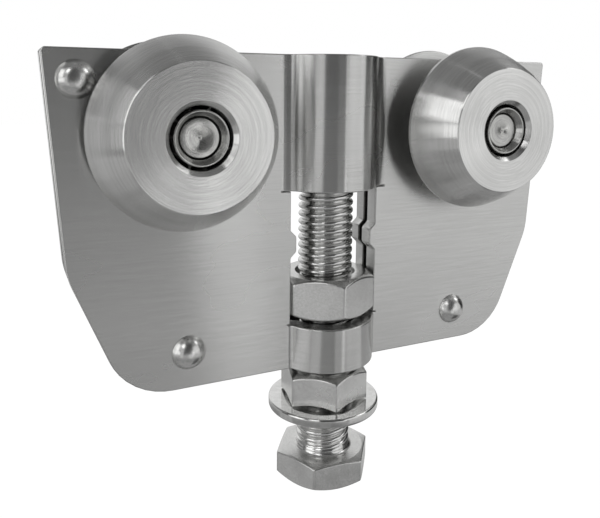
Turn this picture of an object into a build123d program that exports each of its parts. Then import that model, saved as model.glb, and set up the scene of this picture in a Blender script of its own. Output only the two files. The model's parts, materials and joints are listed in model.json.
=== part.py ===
"""Four-roller trolley hanger: two pressed plates, four coned rollers and a hanging bolt.

X runs along the rail, Y goes through the hanger from front (-Y) to back (+Y), and Z is up.
The origin is midway between the two axles and midway between the two plates.
"""

import os
from math import radians, sqrt, tan

from build123d import *

# Pressed plates
sheet_thickness = 3.5
plate_gap = 1.2
plate_height_above_axles = 15.2
plate_half_width_top = 56.9
plate_half_width_bend = 54.1
plate_bend_below_axles = 25.8
plate_half_width_toe = 44.0
plate_corner_radius = 0.8
plate_bend_radius = 14.0
plate_toe_radius = 12.8

# Half tube, window and half collar, from the top edge down
sleeve_bore_diameter = 14.6
tube_length = 27.6
tube_bend_radius = 3.5
window_height = 28.7
window_width = 20.2
collar_height = 9.6
collar_bend_radius = 1.0
relief_slit = 0.15
tab_drop = 8.4
tab_height = 5.8
tab_depth = 1.3
tab_corner_radius = 0.7

# Axles, bearing rings and balls
axle_spacing = 66.0
axle_diameter = 7.0
axle_end_flare = 0.1
axle_end_flare_length = 0.8
axle_end_recess = 1.2
axle_fit = 0.05
spacer_diameter = 11.0
spacer_length = 4.8
ring_diameter = 9.75
ring_length = 9.5
ring_mouth_wall = 0.35
ball_diameter = 4.0
ball_count = 9
race_depth = 0.575
race_clearance = 0.06

# Rollers
roller_width = 10.7
roller_rim_diameter = 35.6
roller_rim_width = 0.9
roller_face_diameter = 26.2
roller_bore_diameter = 13.0
roller_edge_chamfer = 0.2
roller_tread_crown = 0.3
roller_lip_clearance = 0.675
roller_lip_thickness = 2.2
roller_mouth_chamfer = 0.85

# Rivets and the shims that keep the plates apart
rivet_head_diameter = 6.9
rivet_head_height = 2.3
rivet_shank_diameter = 4.0
rivet_fit = 0.05
rivet_upper_end_distance = 5.6
rivet_upper_top_distance = 5.5
rivet_lower_end_distance = 12.0
rivet_lower_bottom_distance = 7.4
shim_wall = 2.0

# Hanging bolt, its nuts and washer
thread_diameter = 12.0
thread_fit = 0.06
bolt_length = 70.0
bolt_tip_chamfer = 1.2
wrench_width = 19.0
head_height = 6.1
head_top_chamfer_angle = 15.0
head_angle = -126.0
captive_nut_height = 8.8
captive_nut_lift = 1.2
captive_nut_angle = -94.0
lock_nut_narrowing = 1.8
lock_nut_height = 7.2
lock_nut_drop = 2.1
lock_nut_angle = -99.6
nut_mouth_chamfer = 0.7
hex_chamfer_reach = 0.95
hex_chamfer_angle = 30.0
washer_diameter = 24.7
washer_bore_diameter = 13.0
washer_thickness = 2.0
washer_clearance = 0.05
grip_length = 9.85

# Reach of a search for corners round a known place
pick_reach = 0.01

# Places worked out from the sizes above
plate_inner_face = plate_gap / 2
plate_outer_face = plate_inner_face + sheet_thickness
plate_top = plate_height_above_axles
tube_bottom = plate_top - tube_length
collar_top = tube_bottom - window_height
plate_bottom = collar_top - collar_height
sleeve_radius = sleeve_bore_diameter / 2 + sheet_thickness

ring_back = plate_outer_face + spacer_length
ring_front = ring_back + ring_length
axle_end = ring_front - axle_end_recess
ball_station = (ring_back + ring_front) / 2
roller_back = ball_station - roller_width / 2
roller_face = ball_station + roller_width / 2
ball_pitch_radius = ring_diameter / 2 - race_depth + ball_diameter / 2 + race_clearance
race_radius = ball_diameter / 2 + race_clearance

captive_nut_bottom = collar_top + captive_nut_lift
lock_nut_width = wrench_width - lock_nut_narrowing
lock_nut_bottom = plate_bottom - lock_nut_drop - lock_nut_height
washer_bottom = lock_nut_bottom - washer_clearance - washer_thickness
head_top = washer_bottom - grip_length

axle_places = {"left": -axle_spacing / 2, "right": axle_spacing / 2}
sides = {"front": -1, "back": 1}
rivet_upper_x = plate_half_width_top - rivet_upper_end_distance
rivet_upper_z = plate_top - rivet_upper_top_distance
rivet_lower_x = plate_half_width_toe - rivet_lower_end_distance
rivet_lower_z = plate_bottom + rivet_lower_bottom_distance
rivet_places = {
    "upper_left": (-rivet_upper_x, rivet_upper_z),
    "upper_right": (rivet_upper_x, rivet_upper_z),
    "lower_left": (-rivet_lower_x, rivet_lower_z),
    "lower_right": (rivet_lower_x, rivet_lower_z),
}


def across_plane(x, side=1):
    """Plane of a turned piece on the axle line at x: local x is the radius, local y runs outwards."""
    return Plane(origin=(x, 0, 0), x_dir=(1, 0, 0), z_dir=(0, 0, side))


def axle_line(x, z=0):
    """Axis through the hanger at x and height z."""
    return Axis((x, 0, z), (0, 1, 0))


def bend_reach(bend_radius):
    """Half width at which the sheet starts to bend outwards into the sleeve."""
    return sqrt((sleeve_radius + bend_radius) ** 2 - (plate_outer_face + bend_radius) ** 2)


def sleeve_profile(bottom, bend_radius):
    """Section of the sheet where it is pressed out into half a sleeve round the bolt."""
    half_width = bend_reach(bend_radius) + relief_slit
    with BuildSketch(Plane.XY.offset(bottom)) as profile:
        with Locations((0, -plate_inner_face)):
            Rectangle(2 * half_width, sheet_thickness, align=(Align.CENTER, Align.MAX))
        Circle(sleeve_radius)
        with Locations((0, -plate_inner_face)):
            other_half = (2 * sleeve_radius, 2 * sleeve_radius)
            Rectangle(*other_half, align=(Align.CENTER, Align.MIN), mode=Mode.SUBTRACT)
        outer_corners = profile.vertices().filter_by_position(
            Axis.Y, -plate_outer_face - pick_reach, -plate_outer_face + pick_reach
        )
        fillet(outer_corners.sort_by(Axis.X)[1:-1], bend_radius)
        Circle(sleeve_bore_diameter / 2, mode=Mode.SUBTRACT)
        inner_corners = profile.vertices().filter_by_position(
            Axis.Y, -plate_inner_face - pick_reach, -plate_inner_face + pick_reach
        )
        fillet(inner_corners.sort_by(Axis.X)[1:-1], bend_radius + sheet_thickness)
    return profile.sketch


def window_outline():
    """The window between tube and collar, with a tab on each side that stops the nut from rising."""
    half_width = window_width / 2
    tab_top = tube_bottom - tab_drop
    tab_bottom = tab_top - tab_height
    with BuildSketch(Plane.XZ.offset(plate_inner_face)) as window:
        with BuildLine():
            half = Polyline(
                (0, tube_bottom),
                (half_width, tube_bottom),
                (half_width, tab_top),
                (half_width - tab_depth, tab_top - tab_depth),
                (half_width - tab_depth, tab_bottom + tab_depth),
                (half_width, tab_bottom),
                (half_width, collar_top),
                (0, collar_top),
            )
            mirror(half, about=Plane.YZ)
        make_face()
        tab_corners = window.vertices().filter_by_position(
            Axis.Y, tab_bottom - pick_reach, tab_top + pick_reach
        )
        fillet(tab_corners, tab_corner_radius)
    return window.sketch


tube_profile = sleeve_profile(tube_bottom, tube_bend_radius)
collar_profile = sleeve_profile(plate_bottom, collar_bend_radius)
window_profile = window_outline()
tube_band_width = 2 * (bend_reach(tube_bend_radius) + relief_slit)
collar_band_width = 2 * (bend_reach(collar_bend_radius) + relief_slit)

# Front plate: the flat sheet is cut open where it is pressed, and the pressed sections close it again
with BuildPart() as front_plate:
    with BuildSketch(Plane.XZ.offset(plate_inner_face)) as outline:
        with BuildLine():
            half = Polyline(
                (0, plate_top),
                (plate_half_width_top, plate_top),
                (plate_half_width_bend, -plate_bend_below_axles),
                (plate_half_width_toe, plate_bottom),
                (0, plate_bottom),
            )
            mirror(half, about=Plane.YZ)
        make_face()
        by_height = outline.vertices().group_by(Axis.Y)
        fillet(by_height[-1], plate_corner_radius)
        fillet(by_height[1], plate_bend_radius)
        toes = outline.vertices().group_by(Axis.Y)[0]
        fillet(toes, plate_toe_radius)
    extrude(amount=sheet_thickness)
    with BuildSketch(Plane.XZ.offset(plate_inner_face)):
        with Locations((0, plate_top)):
            Rectangle(tube_band_width, tube_length + relief_slit, align=(Align.CENTER, Align.MAX))
        with Locations((0, plate_bottom)):
            Rectangle(collar_band_width, collar_height + relief_slit, align=(Align.CENTER, Align.MIN))
    extrude(amount=sheet_thickness, mode=Mode.SUBTRACT)
    extrude(window_profile, amount=sheet_thickness, mode=Mode.SUBTRACT)
    extrude(tube_profile, amount=tube_length)
    extrude(collar_profile, amount=collar_height)
    with BuildSketch(Plane.XZ.offset(plate_inner_face)):
        with Locations(*[(x, 0) for x in axle_places.values()]):
            Circle(axle_diameter / 2 + axle_fit)
        with Locations(*rivet_places.values()):
            Circle(rivet_shank_diameter / 2 + rivet_fit)
    extrude(amount=sheet_thickness, mode=Mode.SUBTRACT)

# Back plate: the same pressing, turned to face the other way
with BuildPart() as back_plate:
    mirror(front_plate.part, about=Plane.XZ)


def make_axle(x):
    """Pin through both plates; each end is flared into the mouth of its bearing ring."""
    radius = axle_diameter / 2
    with BuildPart() as axle:
        with BuildSketch(across_plane(x)):
            with BuildLine():
                Polyline(
                    (0, -axle_end),
                    (radius + axle_end_flare, -axle_end),
                    (radius, -axle_end + axle_end_flare_length),
                    (radius, axle_end - axle_end_flare_length),
                    (radius + axle_end_flare, axle_end),
                    (0, axle_end),
                    close=True,
                )
            make_face()
        revolve(axis=axle_line(x))
    return axle


def make_ring(x, side):
    """Bearing inner ring with a ball race outside and a countersunk mouth."""
    bore = axle_diameter / 2 + axle_fit
    outside = ring_diameter / 2
    with BuildPart() as ring:
        with BuildSketch(across_plane(x, side)):
            with BuildLine():
                Polyline(
                    (bore, ring_back),
                    (outside, ring_back),
                    (outside, ring_front),
                    (outside - ring_mouth_wall, ring_front),
                    (bore + axle_end_flare, axle_end),
                    (bore, axle_end - axle_end_flare_length),
                    close=True,
                )
            make_face()
            with Locations((ball_pitch_radius, ball_station)):
                Circle(race_radius, mode=Mode.SUBTRACT)
        revolve(axis=axle_line(x))
    return ring


def make_spacer(x, side):
    """Tube on the axle that holds the bearing ring off the plate."""
    bore = axle_diameter / 2 + axle_fit
    with BuildPart() as spacer:
        with BuildSketch(across_plane(x, side)):
            with Locations((bore, plate_outer_face)):
                Rectangle(spacer_diameter / 2 - bore, spacer_length, align=(Align.MIN, Align.MIN))
        revolve(axis=axle_line(x))
    return spacer


def make_ball_set(x, side):
    """The full ring of loose balls between bearing ring and roller."""
    ball_circle = Plane(origin=(x, side * ball_station, 0), x_dir=(1, 0, 0), z_dir=(0, 1, 0))
    with BuildPart(ball_circle) as balls:
        with PolarLocations(ball_pitch_radius, ball_count):
            Sphere(ball_diameter / 2)
    return balls


def make_roller(x, side):
    """Roller with a slightly crowned cone as tread, rim beside the plate; an outer lip covers the balls."""
    rim = roller_rim_diameter / 2
    face = roller_face_diameter / 2
    bore = roller_bore_diameter / 2
    lip = ring_diameter / 2 + roller_lip_clearance
    lip_back = roller_face - roller_lip_thickness
    with BuildPart() as roller:
        with BuildSketch(across_plane(x, side)):
            with BuildLine():
                outline = Polyline(
                    (face, roller_face - roller_edge_chamfer),
                    (face - roller_edge_chamfer, roller_face),
                    (lip + roller_mouth_chamfer, roller_face),
                    (lip, roller_face - roller_mouth_chamfer),
                    (lip, lip_back),
                    (bore, lip_back),
                    (bore, roller_back),
                    (rim - roller_edge_chamfer, roller_back),
                    (rim, roller_back + roller_edge_chamfer),
                    (rim, roller_back + roller_rim_width),
                )
                SagittaArc(outline @ 0, outline @ 1, roller_tread_crown)
            make_face()
            with Locations((ball_pitch_radius, ball_station)):
                Circle(race_radius, mode=Mode.SUBTRACT)
        revolve(axis=axle_line(x))
    return roller


def make_rivet(x, z):
    """Round-headed rivet through both plates, with the same dome on each side."""
    head = rivet_head_diameter / 2
    shank = rivet_shank_diameter / 2
    crown = plate_outer_face + rivet_head_height
    dome_radius = (head**2 + rivet_head_height**2) / (2 * rivet_head_height)
    with BuildPart() as rivet:
        with BuildSketch(Plane(origin=(x, 0, z), x_dir=(1, 0, 0), z_dir=(0, 0, 1))):
            with BuildLine():
                RadiusArc((0, crown), (head, plate_outer_face), dome_radius)
                Polyline(
                    (head, plate_outer_face),
                    (shank, plate_outer_face),
                    (shank, -plate_outer_face),
                    (head, -plate_outer_face),
                )
                RadiusArc((head, -plate_outer_face), (0, -crown), dome_radius)
                Line((0, -crown), (0, crown))
            make_face()
        revolve(axis=axle_line(x, z))
    return rivet


def make_shim(x, z, bore):
    """Flat ring between the plates, round an axle or a rivet."""
    with BuildPart() as shim:
        with BuildSketch(Plane.XZ.offset(-plate_inner_face)):
            with Locations((x, z)):
                Circle(bore + shim_wall)
                Circle(bore, mode=Mode.SUBTRACT)
        extrude(amount=plate_gap)
    return shim


def make_hexagon(bottom, height, width, angle, top_chamfer_angle=hex_chamfer_angle, dished=False):
    """Hexagonal prism with corners turned down at both ends, or dished below to stand on its corners."""
    face_radius = hex_chamfer_reach * width / 2
    corner_radius = width / sqrt(3)
    turned_width = corner_radius - face_radius
    top = bottom + height
    top_corner = top - turned_width * tan(radians(top_chamfer_angle))
    raised = bottom + turned_width * tan(radians(hex_chamfer_angle))
    bottom_face, bottom_corner = (raised, bottom) if dished else (bottom, raised)
    with BuildPart() as hexagon:
        with BuildSketch(Plane.XY.offset(bottom)):
            RegularPolygon(width / 2, 6, major_radius=False, rotation=angle)
        extrude(amount=height)
        with BuildSketch(Plane.XZ):
            with BuildLine():
                Polyline(
                    (0, bottom_face),
                    (face_radius, bottom_face),
                    (corner_radius, bottom_corner),
                    (corner_radius, top_corner),
                    (face_radius, top),
                    (0, top),
                    close=True,
                )
            make_face()
        revolve(axis=Axis.Z, mode=Mode.INTERSECT)
    return hexagon.part


def make_nut(bottom, height, width, angle, dished=False):
    """Hexagon nut whose hole is countersunk from both ends."""
    bore = thread_diameter / 2 + thread_fit
    top = bottom + height
    blank = make_hexagon(bottom, height, width, angle, dished=dished)
    with BuildPart() as nut:
        add(blank)
        with BuildSketch(Plane.XZ):
            with BuildLine():
                Polyline(
                    (0, bottom),
                    (bore + nut_mouth_chamfer, bottom),
                    (bore, bottom + nut_mouth_chamfer),
                    (bore, top - nut_mouth_chamfer),
                    (bore + nut_mouth_chamfer, top),
                    (0, top),
                    close=True,
                )
            make_face()
        revolve(axis=Axis.Z, mode=Mode.SUBTRACT)
    return nut


# Hanging bolt, head down
head_blank = make_hexagon(
    head_top - head_height, head_height, wrench_width, head_angle, head_top_chamfer_angle
)
with BuildPart() as bolt:
    add(head_blank)
    with BuildSketch(Plane.XY.offset(head_top)):
        Circle(thread_diameter / 2)
    extrude(amount=bolt_length)
    chamfer(bolt.edges().filter_by(GeomType.CIRCLE).sort_by(Axis.Z)[-1], bolt_tip_chamfer)

with BuildPart() as washer:
    with BuildSketch(Plane.XY.offset(washer_bottom)):
        Circle(washer_diameter / 2)
        Circle(washer_bore_diameter / 2, mode=Mode.SUBTRACT)
    extrude(amount=washer_thickness)

pieces = {
    "front_plate": front_plate,
    "back_plate": back_plate,
    "bolt": bolt,
    "captive_nut": make_nut(captive_nut_bottom, captive_nut_height, wrench_width, captive_nut_angle),
    "lock_nut": make_nut(lock_nut_bottom, lock_nut_height, lock_nut_width, lock_nut_angle, dished=True),
    "washer": washer,
}
for hand, x in axle_places.items():
    pieces[f"axle_{hand}"] = make_axle(x)
    pieces[f"axle_shim_{hand}"] = make_shim(x, 0, axle_diameter / 2 + axle_fit)
    for side_name, side in sides.items():
        pieces[f"spacer_{side_name}_{hand}"] = make_spacer(x, side)
        pieces[f"inner_ring_{side_name}_{hand}"] = make_ring(x, side)
        pieces[f"balls_{side_name}_{hand}"] = make_ball_set(x, side)
        pieces[f"roller_{side_name}_{hand}"] = make_roller(x, side)
for place, (x, z) in rivet_places.items():
    pieces[f"rivet_{place}"] = make_rivet(x, z)
    pieces[f"rivet_shim_{place}"] = make_shim(x, z, rivet_shank_diameter / 2 + rivet_fit)

os.makedirs("parts", exist_ok=True)
for name, piece in pieces.items():
    piece.part.label = name
    export_step(piece.part, f"parts/{name}.step")
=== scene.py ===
"""Looks of the four-roller trolley hanger: finished meshes, steel finishes, studio and camera.

The hanger stands in its own frame: X along the rail, Y from front to back, Z up, and the origin
midway between the axles and midway between the plates. Sizes are given in millimetres and angles
in degrees, unless a comment says otherwise; a mesh is scaled to metres when it is finished.
"""

import json
from math import acos, atan2, ceil, cos, degrees, pi, radians, sin, sqrt, tan

import bmesh
import bpy
from mathutils import Matrix, Vector


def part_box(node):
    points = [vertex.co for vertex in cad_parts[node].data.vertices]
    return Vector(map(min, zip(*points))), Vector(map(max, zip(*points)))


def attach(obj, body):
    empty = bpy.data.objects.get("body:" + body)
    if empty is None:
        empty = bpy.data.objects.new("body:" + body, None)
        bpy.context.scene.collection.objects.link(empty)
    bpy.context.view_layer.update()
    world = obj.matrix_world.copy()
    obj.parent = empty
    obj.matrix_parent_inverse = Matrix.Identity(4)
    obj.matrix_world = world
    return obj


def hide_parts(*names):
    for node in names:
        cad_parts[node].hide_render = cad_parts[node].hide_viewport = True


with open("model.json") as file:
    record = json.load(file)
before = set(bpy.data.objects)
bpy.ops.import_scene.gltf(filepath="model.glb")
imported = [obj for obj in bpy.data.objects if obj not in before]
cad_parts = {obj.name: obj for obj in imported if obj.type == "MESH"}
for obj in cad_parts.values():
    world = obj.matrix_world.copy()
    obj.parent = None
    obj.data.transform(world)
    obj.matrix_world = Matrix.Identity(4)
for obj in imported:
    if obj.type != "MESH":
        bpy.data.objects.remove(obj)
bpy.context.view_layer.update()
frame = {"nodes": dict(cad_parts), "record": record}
mm = 0.001


def low(node):
    """Lowest corner of a node at rest, in millimetres."""
    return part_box(node)[0] / mm


def high(node):
    """Highest corner of a node at rest, in millimetres."""
    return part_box(node)[1] / mm


def middle(node):
    """Middle of a node's box at rest, in millimetres."""
    return (low(node) + high(node)) / 2


# Places and sizes read from the frame
sides = {"front": -1, "back": 1}
hands = ("left", "right")
rivet_names = ("upper_left", "upper_right", "lower_left", "lower_right")
axle_x = {hand: middle(f"axle_{hand}").x for hand in hands}
sheet_inside = low("back_plate").y
sheet_outside = low("spacer_back_left").y
sheet_thickness = sheet_outside - sheet_inside
plate_top = high("front_plate").z
plate_bottom = low("front_plate").z
plate_half_width = high("front_plate").x
sleeve_radius = -low("front_plate").y
roller_back = low("roller_back_left").y
roller_face = high("roller_back_left").y
rim_radius = high("roller_back_left").z
ring_back = low("inner_ring_back_left").y
ring_face = high("inner_ring_back_left").y
ring_radius = high("inner_ring_back_left").z
axle_end = high("axle_left").y
axle_flare_radius = high("axle_left").z
rivet_head_radius = high("rivet_lower_left").x - middle("rivet_lower_left").x
rivet_crown = high("rivet_lower_left").y
washer_radius = high("washer").x
washer_bottom = low("washer").z
washer_top = high("washer").z
bolt_tip = high("bolt").z
head_bottom = low("bolt").z

# Sizes of the pressed plates; these and the ones below are held by no box
plate_bend = (54.1, -25.8, 14.0)  # x, z, radius
plate_toe = (44.0, plate_bottom, 12.8)  # x, z, radius
plate_corner_radius = 0.8
sheet_edge_round = 0.28
tube_bottom = -12.4
tube_bend_radius = 3.5
collar_top = -41.1
collar_bend_radius = 1.0
relief_slit = 0.15
window_half_width = 10.1
tab_top = -20.8
tab_bottom = -26.6
tab_depth = 1.3
tab_corner_radius = 0.7

# Sizes of the rollers
rim_width = 0.9
rim_round = 0.3
tread_crown = 0.3
face_radius = 13.1
face_crown = 0.16
face_chamfer = 0.2
face_edge_round = 0.15
hub_round = 0.12
mouth_chamfer = 0.85
mouth_round = 0.2
lip_radius = 5.55
lip_thickness = 2.2
lip_round = 0.1
roller_bore_radius = 6.5
roller_back_round = 0.2
race_radius = 2.06
ball_pitch_radius = 6.36

# Sizes of the bearing rings and axles
axle_radius = 3.5
hole_fit = 0.05
ring_bore_round = 0.1
ring_back_round = 0.15
ring_lip_width = 0.35
ring_lip_round = 0.22
ring_mouth_round = 0.12
axle_gap_mouth = 0.12
axle_gap_floor = 0.05
axle_gap_depth = 0.7
flare_seat_depth = 0.9
flare_length = 0.8
centre_mark = ((0, 0.02), (0.16, 0.06), (0.3, 0.2), (0.52, 0))  # radius, depth below the end
flare_edge = ((0.25, 0.1, 0.1), (0.15, 0.25, 0.08))  # in from the flare, depth, round

# Sizes of the rivets
rivet_flat_radius = 1.7
rivet_flat_depth = 0.1
rivet_foot_height = 0.08
rivet_foot_inset = 0.05
rivet_dome_start = 3  # degrees above the sheet at which the dome begins

# Sizes of the bolt
thread_radius = 6.0
thread_undersize = 0.06
thread_pitch = 1.75
thread_depth = 1.1
thread_sharpness = 2.6
thread_phase = 0.26
turns_below_start = 1.5
thread_runout = 1.4
tip_chamfer = 1.2
crest_radius = thread_radius - thread_undersize
tip_radius = thread_radius - tip_chamfer
neck_length = 1.6
neck_fillet = 0.9
neck_overlap = 0.05
head_height = 6.1
head_edge_round = 0.3
head_top_round = 0.15
head_top_slope = tan(radians(15))
thread_finish_above_head = 0.3

# Sizes of the hexagons and nuts
half_side = 30  # degrees from a corner of a hexagon to the middle of its side
hexagon_corners = {"captive_nut": -94.0, "lock_nut": -99.6, "bolt": -126.0}
hexagon_apothems = {"captive_nut": 9.5, "lock_nut": 8.6, "bolt": 9.5}
hex_corner_round = 0.45
hex_chamfer_reach = 0.95
hex_chamfer_slope = tan(radians(30))
nut_edge_round = 0.5
nut_foot_round = 0.15
nut_chamfer_round = 0.12
nut_bore_fit = 0.35
nut_mouth_round = 0.1
nut_lower_mouth_width = 0.76
nut_lower_mouth_depth = 0.7
nut_upper_mouth_width = 0.62
nut_upper_mouth_floor = 0.42
nut_upper_mouth_depth = 1.7
nut_bore_top = 2.0

# Sizes of the washer
washer_bore_radius = 6.5
washer_bore_rounds = (0.25, 0.35)  # bottom, top
washer_rim_rounds = (0.4, 0.45)  # bottom, top

# Fineness of the meshes
longest_round = 0.48  # share of a side
merge_distance = 1e-4
shortest_edge = 1e-5
seam_distance = 1e-3
sharp_edge_angle = 50
bend_steps = 10
sleeve_steps = 28
outline_round_steps = 8
crown_steps = 8
groove_steps = 14
dome_steps = 22
turned_steps = 144
fine_turned_steps = 192
rivet_steps = 96
hexagon_steps = 240
thread_steps_round = 96
thread_steps_along = 12


def round_corners(points, closed=True, steps=4):
    """Path through points (a, b) or (a, b, radius), with an arc at each corner with a radius."""
    path = []
    count = len(points)
    for index, (a, b, *rest) in enumerate(points):
        corner = Vector((a, b))
        radius = rest[0] if rest else 0
        if not radius or (not closed and index in (0, count - 1)):
            path.append(corner)
            continue
        before = Vector(points[index - 1][:2]) - corner
        after = Vector(points[(index + 1) % count][:2]) - corner
        half_angle = before.angle(after) / 2
        room = longest_round * before.length, longest_round * after.length
        reach = min(radius / tan(half_angle), *room)
        radius = reach * tan(half_angle)
        bisector = (before.normalized() + after.normalized()).normalized()
        centre = corner + bisector * radius / sin(half_angle)
        start = corner + before.normalized() * reach - centre
        end = corner + after.normalized() * reach - centre
        for step in range(steps + 1):
            path.append(centre + start.lerp(end, step / steps).normalized() * radius)
    return path


def arc(centre, radius, start, end, steps):
    """Points of an arc in a plane, from one angle in degrees to another."""
    angles = [radians(start + (end - start) * step / steps) for step in range(steps + 1)]
    return [(centre[0] + radius * cos(angle), centre[1] + radius * sin(angle)) for angle in angles]


def make_object(name, mesh_data):
    """Object of a finished bmesh in millimetres, smooth, with flat faces kept flat by area."""
    bmesh.ops.remove_doubles(mesh_data, verts=mesh_data.verts, dist=merge_distance)
    bmesh.ops.dissolve_degenerate(mesh_data, edges=mesh_data.edges, dist=shortest_edge)
    bmesh.ops.recalc_face_normals(mesh_data, faces=mesh_data.faces)
    bmesh.ops.scale(mesh_data, vec=(mm, mm, mm), verts=mesh_data.verts)
    mesh = bpy.data.meshes.new(name)
    mesh_data.to_mesh(mesh)
    mesh_data.free()
    mesh.shade_smooth()
    piece = bpy.data.objects.new(name, mesh)
    bpy.context.scene.collection.objects.link(piece)
    weighting = piece.modifiers.new("face weighted normals", "WEIGHTED_NORMAL")
    weighting.keep_sharp = True
    return piece


def add_grid(mesh_data, rows, wrap_rows=True, wrap_columns=True):
    """Quads between rows of points, closed round in either direction."""
    grid = [[mesh_data.verts.new(point) for point in row] for row in rows]
    row_count = len(grid)
    column_count = len(grid[0])
    for i in range(row_count if wrap_rows else row_count - 1):
        for j in range(column_count if wrap_columns else column_count - 1):
            here, across = grid[i], grid[(i + 1) % row_count]
            following = (j + 1) % column_count
            mesh_data.faces.new((here[j], here[following], across[following], across[j]))


def turn(name, profile, x, side, z=0, closed=True, steps=turned_steps):
    """Turned piece about the axle line at x and z; the profile holds radius and distance out."""
    mesh_data = bmesh.new()
    rows = []
    for step in range(steps):
        angle = 2 * pi * step / steps
        rows.append([(x + r * cos(angle), side * y, z + r * sin(angle)) for r, y in profile])
    add_grid(mesh_data, rows, wrap_columns=closed)
    return make_object(name, mesh_data)


def upright_rows(profile_at, steps):
    """Rows of points about the bolt's axis; profile_at gives radius and height at an angle."""
    rows = []
    for step in range(steps):
        angle = 360 * step / steps
        cosine, sine = cos(radians(angle)), sin(radians(angle))
        rows.append([(r * cosine, r * sine, z) for r, z in profile_at(angle)])
    return rows


def turn_upright(name, profile_at, steps):
    """Closed ring about the bolt's axis."""
    mesh_data = bmesh.new()
    add_grid(mesh_data, upright_rows(profile_at, steps))
    return make_object(name, mesh_data)


def dress(piece, node, material):
    """The piece stands for a node, rides on that node's body and takes its finish."""
    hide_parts(node)
    bodies = frame["record"]["behaviour"]["bodies"]
    body = next(name for name, members in bodies.items() if node in members)
    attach(piece, body)
    piece.data.materials.append(material)


# Pressed plates
def bend_reach(bend_radius):
    """Half width at which the sheet starts to bend outwards into the sleeve."""
    return sqrt((sleeve_radius + bend_radius) ** 2 - (sheet_outside + bend_radius) ** 2)


def sleeve_section(bend_radius):
    """Section of the sheet across a sleeve, left to right: outer and inner points as (x, y)."""
    reach = bend_reach(bend_radius)
    centre = (reach, sheet_outside + bend_radius)
    meeting = degrees(atan2(centre[1], centre[0]))
    inner_bend_radius = bend_radius + sheet_thickness
    inner_sleeve_radius = sleeve_radius - sheet_thickness
    outer = arc(centre, bend_radius, -90, meeting - 180, bend_steps)
    inner = arc(centre, inner_bend_radius, -90, meeting - 180, bend_steps)
    outer += arc((0, 0), sleeve_radius, meeting, 90, sleeve_steps)[1:]
    inner += arc((0, 0), inner_sleeve_radius, meeting, 90, sleeve_steps)[1:]
    outer = [(reach + relief_slit, sheet_outside)] + outer
    inner = [(reach + relief_slit, sheet_inside)] + inner
    outer = [(-x, y) for x, y in outer] + outer[-2::-1]
    inner = [(-x, y) for x, y in inner] + inner[-2::-1]
    return outer, inner


def flat_outline(hand):
    """Outline of the flat sheet beside the sleeve, as (x, z); hand is -1 or 1."""
    tube_edge = bend_reach(tube_bend_radius) + relief_slit
    collar_edge = bend_reach(collar_bend_radius) + relief_slit
    tab_edge = window_half_width - tab_depth
    outline = [
        (tube_edge, tube_bottom),
        (tube_edge, plate_top),
        (plate_half_width, plate_top, plate_corner_radius),
        plate_bend,
        plate_toe,
        (collar_edge, plate_bottom),
        (collar_edge, collar_top),
        (collar_edge, collar_top + relief_slit),
        (window_half_width, collar_top + relief_slit),
        (window_half_width, tab_bottom, tab_corner_radius),
        (tab_edge, tab_bottom + tab_depth, tab_corner_radius),
        (tab_edge, tab_top - tab_depth, tab_corner_radius),
        (window_half_width, tab_top, tab_corner_radius),
        (window_half_width, tube_bottom - relief_slit),
        (tube_edge, tube_bottom - relief_slit),
    ]
    return [(hand * x, z) for x, z in round_corners(outline, steps=outline_round_steps)]


def height_span(first, second):
    """Two heights in either order, rounded so that they can be compared."""
    return {round(first, 3), round(second, 3)}


def is_rim(edge):
    """True for a sharp edge that runs along a face of the sheet rather than through it."""
    if len(edge.link_faces) != 2 or edge.calc_face_angle(0) < radians(sharp_edge_angle):
        return False
    start, end = (vertex.co for vertex in edge.verts)
    through = abs(start.x - end.x) < seam_distance and abs(start.z - end.z) < seam_distance
    return not through


def make_plate(name, side):
    """One pressed plate: a flat sheet on each side of a half tube, a window and a half collar."""
    mesh_data = bmesh.new()
    for bend_radius, bottom, top in (
        (tube_bend_radius, tube_bottom, plate_top),
        (collar_bend_radius, plate_bottom, collar_top),
    ):
        outer, inner = sleeve_section(bend_radius)
        for layer in (outer, inner):
            rows = [[(x, side * y, z) for x, y in layer] for z in (bottom, top)]
            add_grid(mesh_data, rows, wrap_rows=False, wrap_columns=False)
        for z in (bottom, top):
            rows = [[(x, side * y, z) for x, y in layer] for layer in (outer, inner)]
            add_grid(mesh_data, rows, wrap_rows=False, wrap_columns=False)
    joins = height_span(tube_bottom, plate_top), height_span(plate_bottom, collar_top)
    for hand in (-1, 1):
        outline = flat_outline(hand)
        for y in (sheet_outside, sheet_inside):
            mesh_data.faces.new([mesh_data.verts.new((x, side * y, z)) for x, z in outline])
        for start, end in zip(outline, outline[1:] + outline[:1]):
            if start[0] == end[0] and height_span(start[1], end[1]) in joins:
                continue
            ends = (start, end)
            rows = [[(x, side * y, z) for x, z in ends] for y in (sheet_outside, sheet_inside)]
            add_grid(mesh_data, rows, wrap_rows=False, wrap_columns=False)
    bmesh.ops.remove_doubles(mesh_data, verts=mesh_data.verts, dist=seam_distance)
    bmesh.ops.recalc_face_normals(mesh_data, faces=mesh_data.faces)
    bmesh.ops.bevel(
        mesh_data,
        geom=[edge for edge in mesh_data.edges if is_rim(edge)],
        offset=sheet_edge_round,
        segments=3,
        profile=0.5,
        affect="EDGES",
        clamp_overlap=True,
    )
    sharp = radians(sharp_edge_angle)
    for edge in mesh_data.edges:
        edge.smooth = len(edge.link_faces) < 2 or edge.calc_face_angle(0) < sharp
    return make_object(name, mesh_data)


# Rollers, bearings, axles and rivets
def crowned(start, end, crown):
    """Points strictly between two profile points, on a flat arc that bulges off the axis."""
    start, end = Vector(start), Vector(end)
    outwards = Vector((end.y - start.y, start.x - end.x)).normalized()
    shares = [step / crown_steps for step in range(1, crown_steps)]
    return [
        start.lerp(end, share) + outwards * crown * 4 * share * (1 - share) for share in shares
    ]


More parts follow.
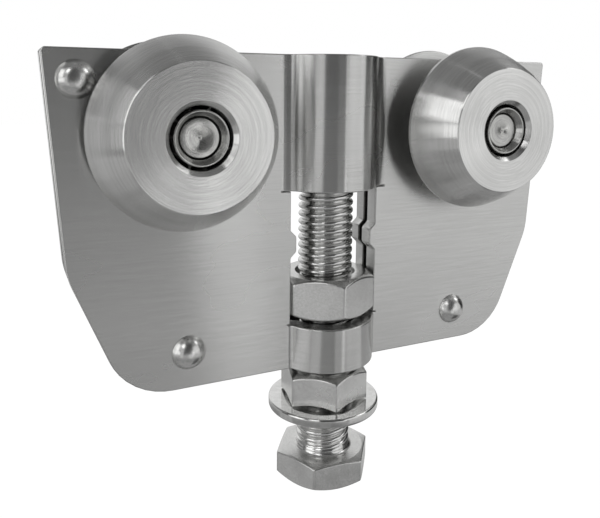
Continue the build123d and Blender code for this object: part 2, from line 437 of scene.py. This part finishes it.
def groove_points(wall_radius, middle_angle):
    """Ball groove cut in a wall of the given radius, round the angle of its deepest point."""
    ball_station = (ring_back + ring_face) / 2
    opening = degrees(acos(abs(wall_radius - ball_pitch_radius) / race_radius))
    start, end = middle_angle + opening, middle_angle - opening
    return arc((ball_pitch_radius, ball_station), race_radius, start, end, groove_steps)


def roller_profile():
    """Half section of a roller: coned tread, turned face, mouth, lip and ball groove."""
    lip_back = roller_face - lip_thickness
    face_edge = roller_face - face_crown
    tread_start = (rim_radius, roller_back + rim_width)
    tread_end = (face_radius, face_edge - face_chamfer)
    corners = [
        (rim_radius, roller_back, roller_back_round),
        (*tread_start, rim_round),
        *crowned(tread_start, tread_end, tread_crown),
        (*tread_end, face_edge_round),
        (face_radius - face_chamfer, face_edge, face_edge_round),
        (lip_radius + mouth_chamfer, roller_face, hub_round),
        (lip_radius, roller_face - mouth_chamfer, mouth_round),
        (lip_radius, lip_back, lip_round),
        (roller_bore_radius, lip_back),
        *groove_points(roller_bore_radius, 0),
        (roller_bore_radius, roller_back, roller_back_round),
    ]
    return round_corners(corners, steps=5)


def ring_profile():
    """Half section of a bearing ring: ball groove, round lip, dished mouth, gap round the axle."""
    bore = axle_radius + hole_fit
    flare_seat = bore + axle_flare_radius - axle_radius
    corners = [
        (bore, ring_back, ring_bore_round),
        (ring_radius, ring_back, ring_back_round),
        *groove_points(ring_radius, 180),
        (ring_radius, ring_face, ring_lip_round),
        (ring_radius - ring_lip_width, ring_face, ring_mouth_round),
        (flare_seat + axle_gap_mouth, axle_end, ring_mouth_round),
        (flare_seat + axle_gap_floor, axle_end - axle_gap_depth),
        (bore, axle_end - flare_seat_depth),
    ]
    return round_corners(corners)


def there_and_back(path):
    """Half profile from the middle of one end outwards, carried on to the other end."""
    return path + [Vector((r, -y)) for r, y in reversed(path)]


def axle_profile():
    """Half section of an axle between its turned ends, each with a nib in a small dimple."""
    half = [(r, axle_end - depth) for r, depth in centre_mark]
    for inset, depth, edge_round in flare_edge:
        half.append((axle_flare_radius - inset, axle_end - depth, edge_round))
    half.append((axle_radius, axle_end - flare_length))
    return there_and_back(round_corners(half, closed=False))


def rivet_profile():
    """Half section of a rivet: a low dome with a faint flat on top, on each side of the sheets."""
    height = rivet_crown - sheet_outside
    dome_radius = (rivet_head_radius**2 + height**2) / (2 * height)
    centre = rivet_crown - dome_radius
    foot_angle = degrees(atan2(sheet_outside - centre, rivet_head_radius))
    dome = arc((0, centre), dome_radius, 90, foot_angle + rivet_dome_start, dome_steps)
    half = [
        (r, y - rivet_flat_depth * max(0.0, 1 - (r / rivet_flat_radius) ** 2)) for r, y in dome
    ]
    half += [
        (rivet_head_radius, sheet_outside + rivet_foot_height),
        (rivet_head_radius - rivet_foot_inset, sheet_outside),
    ]
    return there_and_back([Vector(point) for point in half])


# Bolt, nuts and washer
def hexagon_radius(angle, corner_angle, apothem):
    """Distance from the axis to a hexagon whose corners are slightly rounded."""
    off_corner = abs((angle - corner_angle + half_side) % (2 * half_side) - half_side)
    flat = apothem / cos(radians(half_side - off_corner))
    blunt = (apothem - hex_corner_round) / cos(radians(half_side)) + hex_corner_round
    reach = blunt - hex_corner_round
    cosine = cos(radians(off_corner))
    inside = hex_corner_round**2 - reach**2 * (1 - cosine**2)
    on_corner = inside > 0 and off_corner < degrees(atan2(hex_corner_round / 2, apothem))
    return reach * cosine + sqrt(inside) if on_corner else min(flat, blunt)


def make_nut(node, dished):
    """A hexagon nut where its node stands; a dished nut stands on its corners."""
    bottom, top = low(node).z, high(node).z
    apothem, corner_angle = hexagon_apothems[node], hexagon_corners[node]
    bore = thread_radius - thread_depth + nut_bore_fit
    face = hex_chamfer_reach * apothem
    sharp_corner = apothem / cos(radians(half_side))
    rise = (sharp_corner - face) * hex_chamfer_slope if dished else 0
    foot_round = nut_foot_round if dished else nut_edge_round
    underside = bottom + rise

    def profile_at(angle):
        corner = hexagon_radius(angle, corner_angle, apothem)
        drop = (corner - face) * hex_chamfer_slope
        foot = rise - drop if dished else drop
        corners = [
            (bore, underside + nut_lower_mouth_depth),
            (thread_radius + nut_lower_mouth_width, underside, nut_mouth_round),
            (face, underside, nut_chamfer_round),
            (corner, bottom + foot, foot_round),
            (corner, top - drop, nut_edge_round),
            (face, top, nut_chamfer_round),
            (thread_radius + nut_upper_mouth_width, top, nut_mouth_round),
            (thread_radius + nut_upper_mouth_floor, top - nut_upper_mouth_depth),
            (bore, top - nut_bore_top),
        ]
        return round_corners(corners)

    return turn_upright(node + "_hexagon", profile_at, hexagon_steps)


def thread_form(phase):
    """Height of the thread at a phase of 0 to 1 along one pitch: round crest, narrow root."""
    return 1 - abs(2 * phase - 1) ** thread_sharpness


def add_thread(mesh_data, start, end):
    """Threaded shank between two heights, closed at both ends; the rows follow the helix."""
    turns = ceil((end - start) / thread_pitch) + 2
    rows = []
    for step in range(thread_steps_round + 1):
        angle = 2 * pi * step / thread_steps_round
        row = []
        for k in range((turns + 1) * thread_steps_along + 1):
            turned = k / thread_steps_along - turns_below_start + thread_phase
            height = start + thread_pitch * (turned + step / thread_steps_round)
            above_start = min(max((height - start) / thread_runout, 0), 1)
            share = 1 - thread_form((k / thread_steps_along) % 1)
            depth = thread_depth * share * above_start**0.5
            radius = min(crest_radius - depth, tip_radius + end - height)
            if height <= start:
                radius = crest_radius
            if height >= end:
                radius = tip_radius
            row.append((radius * cos(angle), radius * sin(angle), min(max(height, start), end)))
        rows.append(row)
    add_grid(mesh_data, rows, wrap_rows=False, wrap_columns=False)
    for height, radius in ((start, crest_radius), (end, tip_radius)):
        ring = arc((0, 0), radius, 0, 360, thread_steps_round)[:-1]
        mesh_data.faces.new([mesh_data.verts.new(point + (height,)) for point in ring])


def make_bolt():
    """Hexagon head with turned corners, a plain neck and the thread up to the tip."""
    apothem, corner_angle = hexagon_apothems["bolt"], hexagon_corners["bolt"]
    head_top = head_bottom + head_height
    neck_top = head_top + neck_length
    face = hex_chamfer_reach * apothem

    def profile_at(angle):
        corner = hexagon_radius(angle, corner_angle, apothem)
        lower_chamfer = (corner - face) * hex_chamfer_slope
        upper_chamfer = (corner - face) * head_top_slope
        corners = [
            (0, head_bottom),
            (face, head_bottom, head_edge_round),
            (corner, head_bottom + lower_chamfer, head_edge_round),
            (corner, head_top - upper_chamfer, head_edge_round),
            (face, head_top, head_top_round),
            (crest_radius, head_top, neck_fillet),
            (crest_radius, neck_top),
            (0, neck_top),
        ]
        return round_corners(corners, closed=False, steps=6)

    mesh_data = bmesh.new()
    add_grid(mesh_data, upright_rows(profile_at, hexagon_steps), wrap_columns=False)
    add_thread(mesh_data, neck_top - neck_overlap, bolt_tip)
    return make_object("hanging_bolt_threaded", mesh_data)


def washer_profile(angle):
    """Half section of the washer, alike at every angle, with edges rounded by tumbling."""
    corners = [
        (washer_bore_radius, washer_bottom, washer_bore_rounds[0]),
        (washer_radius, washer_bottom, washer_rim_rounds[0]),
        (washer_radius, washer_top, washer_rim_rounds[1]),
        (washer_bore_radius, washer_top, washer_bore_rounds[1]),
    ]
    return round_corners(corners, steps=6)


# Finishes; the sizes of marks and clouds are scales of a noise, per metre
def add_node(tree, kind, inputs=None, **settings):
    """A node with its settings, its input values set and its linked inputs joined."""
    node = tree.nodes.new(kind)
    for setting, value in settings.items():
        setattr(node, setting, value)
    for socket, value in (inputs or {}).items():
        if isinstance(value, bpy.types.NodeSocket):
            tree.links.new(value, node.inputs[socket])
        else:
            node.inputs[socket].default_value = value
    return node


def add_math(tree, operation, *values):
    """Result of a math node."""
    return add_node(tree, "ShaderNodeMath", dict(enumerate(values)), operation=operation).outputs[0]


def add_vector_math(tree, operation, *values):
    """Result of a vector math node: the number of a length or a dot product, else the vector."""
    node = add_node(tree, "ShaderNodeVectorMath", dict(enumerate(values)), operation=operation)
    return node.outputs["Value" if operation in ("LENGTH", "DOT_PRODUCT") else "Vector"]


def new_group(name, inputs, outputs):
    """Shader node group with named sockets: the tree, its input node and its output node."""
    tree = bpy.data.node_groups.new(name, "ShaderNodeTree")
    for socket, (kind, value) in inputs.items():
        made = tree.interface.new_socket(socket, in_out="INPUT", socket_type=kind)
        made.default_value = value
    for socket, kind in outputs.items():
        tree.interface.new_socket(socket, in_out="OUTPUT", socket_type=kind)
    return tree, tree.nodes.new("NodeGroupInput"), tree.nodes.new("NodeGroupOutput")


def make_turned_coordinates():
    """Group: distance from an axle line, distance along it and a slow drift round it."""
    tree, given, result = new_group(
        "turned coordinates",
        {"Centre": ("NodeSocketVector", (0, 0, 0))},
        {"Vector": "NodeSocketVector"},
    )
    across_axle = (1, 0, 1)
    drift_direction = (0.31, 0.17, 0.23)
    drift_length = 0.6 * mm
    place = add_node(tree, "ShaderNodeTexCoord").outputs["Object"]
    offset = add_vector_math(tree, "SUBTRACT", place, given.outputs["Centre"])
    flat = add_vector_math(tree, "MULTIPLY", offset, across_axle)
    radius = add_vector_math(tree, "LENGTH", flat)
    rest = add_vector_math(tree, "SUBTRACT", offset, flat)
    along = add_vector_math(tree, "DOT_PRODUCT", rest, (1, 1, 1))
    direction = add_vector_math(tree, "NORMALIZE", flat)
    round_about = add_vector_math(tree, "DOT_PRODUCT", direction, drift_direction)
    drift = add_math(tree, "MULTIPLY", round_about, drift_length)
    joined = add_node(tree, "ShaderNodeCombineXYZ", {"X": radius, "Y": along, "Z": drift})
    tree.links.new(joined.outputs[0], result.inputs["Vector"])
    return tree


def make_tool_marks():
    """Group: fine parallel marks along a direction, with cloudy wear between them."""
    tree, given, result = new_group(
        "tool marks",
        {
            "Vector": ("NodeSocketVector", (0, 0, 0)),
            "Marks": ("NodeSocketVector", (1000, 1000, 1000)),
            "Clouds": ("NodeSocketVector", (60, 60, 60)),
            "Dark": ("NodeSocketColor", (0.6, 0.6, 0.6, 1)),
            "Bright": ("NodeSocketColor", (0.8, 0.8, 0.8, 1)),
            "Smooth": ("NodeSocketFloat", 0.2),
            "Rough": ("NodeSocketFloat", 0.4),
            "Depth": ("NodeSocketFloat", 0.2),
        },
        {"Color": "NodeSocketColor", "Roughness": "NodeSocketFloat", "Normal": "NodeSocketVector"},
    )
    mark_height = 0.04 * mm
    tone_span = {"From Min": 0.82, "From Max": 1.18}
    wear_span = {"From Min": 0.3, "From Max": 0.7}

    def noise(scale, detail, roughness):
        """Noise stretched by one of the group's scales."""
        place = add_vector_math(tree, "MULTIPLY", given.outputs["Vector"], given.outputs[scale])
        inputs = {"Vector": place, "Scale": 1, "Detail": detail, "Roughness": roughness}
        return add_node(tree, "ShaderNodeTexNoise", inputs).outputs[0]

    marks = noise("Marks", detail=4, roughness=0.65)
    clouds = noise("Clouds", detail=3, roughness=0.5)
    both = add_math(tree, "ADD", marks, clouds)
    level = add_node(tree, "ShaderNodeMapRange", {"Value": both, **tone_span})
    tones = {"Color1": given.outputs["Dark"], "Color2": given.outputs["Bright"]}
    colour = add_node(tree, "ShaderNodeMixRGB", {"Fac": level.outputs[0], **tones})
    smooth, rough = given.outputs["Smooth"], given.outputs["Rough"]
    worn = {"Value": clouds, **wear_span, "To Min": smooth, "To Max": rough}
    roughness = add_node(tree, "ShaderNodeMapRange", worn)
    relief = {"Height": marks, "Strength": given.outputs["Depth"], "Distance": mark_height}
    bump = add_node(tree, "ShaderNodeBump", relief)
    tree.links.new(colour.outputs[0], result.inputs["Color"])
    tree.links.new(roughness.outputs[0], result.inputs["Roughness"])
    tree.links.new(bump.outputs[0], result.inputs["Normal"])
    return tree


turned_coordinates = make_turned_coordinates()
tool_marks = make_tool_marks()
grain_map = "height first"
quarter_turn = 0.25


def make_finish(
    name, marks, clouds, tones, roughness, depth, anisotropy=0, axle=None, grained=False
):
    """Steel finish: marks along X, Y and Z, or round the axle line at x; grained for a sheet."""
    material = bpy.data.materials.new(name)
    material.use_nodes = True
    tree = material.node_tree
    shader = tree.nodes["Principled BSDF"]
    if axle is None:
        place = add_node(tree, "ShaderNodeTexCoord").outputs["Object"]
    else:
        centre = {"Centre": Vector((axle, 0, 0)) * mm}
        place = add_node(tree, "ShaderNodeGroup", centre, node_tree=turned_coordinates).outputs[0]
    surface_inputs = {
        "Vector": place,
        "Marks": marks,
        "Clouds": clouds,
        "Dark": (*tones[0], 1),
        "Bright": (*tones[1], 1),
        "Smooth": roughness[0],
        "Rough": roughness[1],
        "Depth": depth,
    }
    surface = add_node(tree, "ShaderNodeGroup", surface_inputs, node_tree=tool_marks)
    shader.inputs["Metallic"].default_value = 1
    shader.inputs["Anisotropic"].default_value = anisotropy
    tree.links.new(surface.outputs["Color"], shader.inputs["Base Color"])
    tree.links.new(surface.outputs["Roughness"], shader.inputs["Roughness"])
    tree.links.new(surface.outputs["Normal"], shader.inputs["Normal"])
    tangent = None
    if grained:
        tangent = {"direction_type": "UV_MAP", "uv_map": grain_map}
    elif axle is not None:
        tangent = {"direction_type": "RADIAL", "axis": "Y"}
        shader.inputs["Anisotropic Rotation"].default_value = quarter_turn
    if tangent:
        along = add_node(tree, "ShaderNodeTangent", **tangent)
        tree.links.new(along.outputs[0], shader.inputs["Tangent"])
    return material


def even(scale):
    """The same scale in all three directions."""
    return (scale, scale, scale)


steel_tones = ((0.64, 0.64, 0.63), (0.76, 0.76, 0.75))
bright_tones = ((0.70, 0.70, 0.69), (0.82, 0.82, 0.81))
turned_tones = ((0.68, 0.68, 0.67), (0.83, 0.83, 0.82))
sheet_tones = ((0.66, 0.66, 0.65), (0.73, 0.73, 0.72))
bearing_tones = ((0.46, 0.46, 0.45), (0.62, 0.62, 0.60))
# Painted shade: dark tones for the inward faces of the plates, standing in for the shade inside the
# sleeve and collar
painted_shade_tones = ((0.14, 0.14, 0.13), (0.24, 0.24, 0.23))
# Painted shade: near-black tones for the balls, standing in for the shade in the bearing gap
painted_shade_ball_tones = ((0.03, 0.03, 0.03), (0.06, 0.06, 0.055))

sheet_finish = make_finish(
    "grained_sheet",
    marks=(140, 140, 4800),
    clouds=(30, 30, 60),
    tones=sheet_tones,
    roughness=(0.24, 0.29),
    depth=0.08,
    anisotropy=1,
    grained=True,
)
turned_finish = {
    hand: make_finish(
        f"turned_face_{hand}",
        marks=(4800, 4000, 9000),
        clouds=(150, 90, 500),
        tones=turned_tones,
        roughness=(0.20, 0.25),
        depth=0.15,
        anisotropy=0.95,
        axle=axle_x[hand],
    )
    for hand in hands
}
bearing_finish = {
    hand: make_finish(
        f"ground_bearing_{hand}",
        marks=(5000, 3000, 9000),
        clouds=(300, 200, 900),
        tones=bearing_tones,
        roughness=(0.15, 0.20),
        depth=0.12,
        anisotropy=1,
        axle=axle_x[hand],
    )
    for hand in hands
}

# Finishes without a direction: marks, clouds, tones, roughness and depth of the marks
even_finish = {
    name: make_finish(name, even(marks), even(clouds), tones, roughness, depth)
    for name, marks, clouds, tones, roughness, depth in (
        ("tumbled_hexagon", 2600, 150, steel_tones, (0.22, 0.28), 0.08),
        ("rolled_thread", 900, 120, bright_tones, (0.16, 0.2), 0.01),
        ("polished_washer", 800, 150, bright_tones, (0.09, 0.15), 0.05),
        ("pressed_rivet", 1800, 300, steel_tones, (0.22, 0.28), 0.08),
        ("smooth_ring", 2600, 200, steel_tones, (0.28, 0.38), 0.15),
        # painted shade: the dark inside of the sleeve and collar, not a tone of the steel
        ("painted_shade_inside", 900, 120, painted_shade_tones, (0.35, 0.45), 0.1),
        # painted shade: balls kept near-black so that they stay dark inside the bearing gap
        ("painted_shade_ball", 500, 200, painted_shade_ball_tones, (0.3, 0.4), 0.02),
    )
}


# Pieces
def map_height_first(piece):
    """Texture map of a sheet whose first direction is up, across the grain."""
    layer = piece.data.uv_layers.new(name=grain_map)
    vertices = piece.data.vertices
    for loop in piece.data.loops:
        place = vertices[loop.vertex_index].co
        layer.data[loop.index].uv = (place.z, place.x)


inward_slope = 0.2  # faces that look inwards by more than this get the dark finish of painted shade
for name, side in sides.items():
    plate = make_plate(f"pressed_plate_{name}", side)
    map_height_first(plate)
    dress(plate, f"{name}_plate", sheet_finish)
    # The inward faces take the painted shade finish, which darkens the hollow of the sleeve and
    # collar
    plate.data.materials.append(even_finish["painted_shade_inside"])
    for face in plate.data.polygons:
        if face.normal.y * side < -inward_slope:
            face.material_index = 1

for hand in hands:
    x = axle_x[hand]
    axle = turn(f"turned_axle_{hand}", axle_profile(), x, 1, closed=False)
    dress(axle, f"axle_{hand}", bearing_finish[hand])
    for name, side in sides.items():
        place = f"{name}_{hand}"
        profile = roller_profile()
        roller = turn(f"coned_roller_{place}", profile, x, side, steps=fine_turned_steps)
        dress(roller, f"roller_{place}", turned_finish[hand])
        ring = turn(f"bearing_ring_{place}", ring_profile(), x, side)
        dress(ring, f"inner_ring_{place}", bearing_finish[hand])

for name in rivet_names:
    node = f"rivet_{name}"
    spot = middle(node)
    profile = rivet_profile()
    rivet = turn(f"domed_{node}", profile, spot.x, 1, z=spot.z, closed=False, steps=rivet_steps)
    dress(rivet, node, even_finish["pressed_rivet"])

for node in ("captive_nut", "lock_nut"):
    nut = make_nut(node, dished=node == "lock_nut")
    dress(nut, node, even_finish["tumbled_hexagon"])
bolt = make_bolt()
dress(bolt, "bolt", even_finish["tumbled_hexagon"])
bolt.data.materials.append(even_finish["rolled_thread"])
thread_finish_start = (head_bottom + head_height + thread_finish_above_head) * mm
for face in bolt.data.polygons:
    if face.center.z > thread_finish_start:
        face.material_index = 1
washer = turn_upright("tumbled_washer", washer_profile, fine_turned_steps)
dress(washer, "washer", even_finish["polished_washer"])

for node, cad_object in frame["nodes"].items():
    # The balls take the painted shade finish, dark as the gap they sit in
    if node.startswith("balls_"):
        finish = "painted_shade_ball"
    elif "shim" in node or node.startswith("spacer_"):
        finish = "smooth_ring"
    else:
        continue
    cad_object.data.materials.clear()
    cad_object.data.materials.append(even_finish[finish])


# Studio
white = (1, 1, 1, 1)
card_columns, card_rows = 24, 12
least_fade = 0.001
middle_to_edge = 0.5


def make_card_finish(name, brightness, fade):
    """Light of a studio card: even in the middle, fading out towards its edges."""
    material = bpy.data.materials.new(name)
    material.use_nodes = True
    tree = material.node_tree
    tree.nodes.clear()
    uv = add_node(tree, "ShaderNodeTexCoord").outputs["UV"]
    split = add_node(tree, "ShaderNodeSeparateXYZ", {0: uv})
    masks = []
    for axis, share in zip("XY", fade):
        centred = add_math(tree, "SUBTRACT", split.outputs[axis], middle_to_edge)
        off_middle = add_math(tree, "ABSOLUTE", centred)
        fade_start = middle_to_edge - max(share, least_fade)
        edges = {"From Min": middle_to_edge, "From Max": fade_start}
        mask = add_node(
            tree,
            "ShaderNodeMapRange",
            {"Value": off_middle, **edges, "To Min": 0.0, "To Max": 1.0},
            interpolation_type="SMOOTHSTEP",
        )
        masks.append(mask.outputs[0])
    mask = add_math(tree, "MULTIPLY", *masks)
    light = add_node(tree, "ShaderNodeEmission", {"Color": white, "Strength": brightness})
    clear = add_node(tree, "ShaderNodeBsdfTransparent")
    shares = {0: mask, 1: clear.outputs[0], 2: light.outputs[0]}
    mixed = add_node(tree, "ShaderNodeMixShader", shares)
    out = add_node(tree, "ShaderNodeOutputMaterial")
    tree.links.new(mixed.outputs[0], out.inputs["Surface"])
    return material


def add_card(name, azimuth, elevation, distance, brightness, fade):
    """Curved studio card round the hanger; azimuth runs from straight in front towards +X."""
    mesh_data = bmesh.new()
    uv_layer = mesh_data.loops.layers.uv.new("UVMap")
    grid = []
    for i in range(card_columns + 1):
        turned = radians(azimuth[0] + (azimuth[1] - azimuth[0]) * i / card_columns)
        column = []
        for j in range(card_rows + 1):
            lift = radians(elevation[0] + (elevation[1] - elevation[0]) * j / card_rows)
            direction = Vector((sin(turned) * cos(lift), -cos(turned) * cos(lift), sin(lift)))
            vertex = mesh_data.verts.new(direction * distance)
            column.append((vertex, (i / card_columns, j / card_rows)))
        grid.append(column)
    for i in range(card_columns):
        for j in range(card_rows):
            corners = (grid[i][j], grid[i + 1][j], grid[i + 1][j + 1], grid[i][j + 1])
            face = mesh_data.faces.new([vertex for vertex, place in corners])
            for loop, (vertex, place) in zip(face.loops, corners):
                loop[uv_layer].uv = place
    mesh = bpy.data.meshes.new(name)
    mesh_data.to_mesh(mesh)
    mesh_data.free()
    mesh.materials.append(make_card_finish(name + "_light", brightness, fade))
    card = bpy.data.objects.new(name, mesh)
    bpy.context.scene.collection.objects.link(card)
    card.visible_camera = False
    card.visible_diffuse = False
    card.visible_shadow = False


# Name, azimuths, elevations, distance in metres, brightness, share that fades at each edge.
# The tent goes all round; a nearer card hides what is behind it.
for card in (
    ("tent_floor", (-180, 180), (-89, -48), 2.0, 0.3, (0.0, 0.0)),
    ("tent_low", (-180, 180), (-50, -28), 1.98, 0.25, (0.0, 0.05)),
    ("tent_horizon", (-180, 180), (-30, 10), 1.96, 0.4, (0.0, 0.05)),
    ("tent_high", (-180, 180), (8, 50), 1.94, 0.2, (0.0, 0.05)),
    ("tent_top", (-180, 180), (48, 89), 1.92, 0.2, (0.0, 0.05)),
    ("dark_low_front", (-10, 14), (-52, -30), 1.7, 0.2, (0.1, 0.1)),
    ("dark_low_right", (28, 70), (-70, -30), 1.7, 0.02, (0.1, 0.1)),
    ("back_wall", (125, 215), (-16, 50), 1.7, 0.8, (0.2, 0.2)),
    ("left_black", (-114, -98), (-20, 12), 1.55, 0.03, (0.1, 0.2)),
    ("left_window", (-98, -66), (8, 44), 1.5, 1.5, (0.1, 0.1)),
    ("left_panel", (-98, -57), (-13, 9), 1.52, 1.25, (0.06, 0.1)),
    ("left_gap", (-66, -56), (8, 50), 1.45, 0.2, (0.2, 0.1)),
    ("left_low_panel", (-130, -92), (-48, -20), 1.6, 0.38, (0.1, 0.1)),
    ("front_left_panel", (-57, -34), (-32, 28), 1.4, 0.55, (0.06, 0.1)),
    ("front_left_strip", (-58, -33), (28, 54), 1.38, 2.0, (0.1, 0.1)),
    ("dark_front", (-34, 21), (-14, 60), 1.3, 0.07, (0.04, 0.05)),
    ("front_low_strip", (-3, 24), (-31, -12), 1.28, 0.75, (0.1, 0.1)),
    ("right_strip", (14, 21), (-18, 1), 1.2, 1.5, (0.12, 0.12)),
    ("right_panel_inner", (21, 38), (-18, 28), 1.22, 0.88, (0.04, 0.1)),
    ("right_panel_middle", (37, 47), (-18, 36), 1.22, 0.82, (0.04, 0.1)),
    ("right_panel_outer", (46, 66), (-18, 28), 1.24, 0.75, (0.04, 0.1)),
    ("right_low_panel", (24, 165), (-36, -17), 1.26, 0.52, (0.05, 0.1)),
    ("far_right_gap", (66, 125), (-17, 26), 1.3, 0.02, (0.04, 0.1)),
    ("far_right_strip", (60, 84), (28, 50), 1.29, 2.2, (0.1, 0.1)),
    ("right_high_wall", (80, 130), (26, 50), 1.35, 0.3, (0.1, 0.1)),
):
    add_card(*card)

floor_below_head = 2150.0
floor_size = 80000.0
floor_tone = (0.3, 0.3, 0.3, 1)
floor_glow = 0.78
floor_place = (0, 0, (head_bottom - floor_below_head) * mm)
bpy.ops.mesh.primitive_plane_add(size=floor_size * mm, location=floor_place)
studio_floor = bpy.context.object
studio_floor.name = "studio_floor"
floor_finish = bpy.data.materials.new("pale_floor")
floor_finish.use_nodes = True
floor_shader = floor_finish.node_tree.nodes["Principled BSDF"]
floor_shader.inputs["Base Color"].default_value = floor_tone
floor_shader.inputs["Roughness"].default_value = 1
floor_shader.inputs["Specular IOR Level"].default_value = 0
floor_shader.inputs["Emission Color"].default_value = white
floor_shader.inputs["Emission Strength"].default_value = floor_glow
studio_floor.data.materials.append(floor_finish)

# World: white to the camera and in reflections, a little softer as light on matt surfaces
room_light = 0.8
seen_white = 1.0
world = bpy.data.worlds.new("white_studio")
bpy.context.scene.world = world
world.use_nodes = True
tree = world.node_tree
background = tree.nodes["Background"]
background.inputs["Color"].default_value = white
rays = add_node(tree, "ShaderNodeLightPath").outputs
seen = add_math(tree, "MAXIMUM", rays["Is Camera Ray"], rays["Is Glossy Ray"])
seen = add_math(tree, "MAXIMUM", seen, rays["Is Transmission Ray"])
levels = {"Value": seen, "To Min": room_light, "To Max": seen_white}
strength = add_node(tree, "ShaderNodeMapRange", levels)
tree.links.new(strength.outputs[0], background.inputs["Strength"])
world.cycles.sampling_method = "NONE"

# Camera, from the fit of the photograph
camera_place = Vector((-63.865, -122.771, 8.536)) * mm
camera_yaw = radians(25.14)
camera_pitch = radians(-8.0)
camera_roll = radians(0.514)
focal_length_in_pixels = 643.878
picture_width = 600
picture_lift_in_pixels = 80.47
sensor_width = 36

level = cos(camera_pitch)
ahead = Vector((sin(camera_yaw) * level, cos(camera_yaw) * level, sin(camera_pitch)))
level_right = Vector((cos(camera_yaw), -sin(camera_yaw), 0))
level_up = level_right.cross(ahead)
camera_right = level_right * cos(camera_roll) + level_up * sin(camera_roll)
camera_up = level_up * cos(camera_roll) - level_right * sin(camera_roll)
camera_data = bpy.data.cameras.new("camera")
camera_data.sensor_width = sensor_width
camera_data.lens = sensor_width * focal_length_in_pixels / picture_width
camera_data.shift_y = -picture_lift_in_pixels / picture_width
camera_data.clip_start = 0.01
camera = bpy.data.objects.new("camera", camera_data)
turning = Matrix((camera_right, camera_up, -ahead)).transposed().to_4x4()
camera.matrix_world = Matrix.Translation(camera_place) @ turning
bpy.context.scene.collection.objects.link(camera)
bpy.context.scene.camera = camera
bpy.context.scene.view_settings.view_transform = "Standard"

bpy.context.view_layer.update()
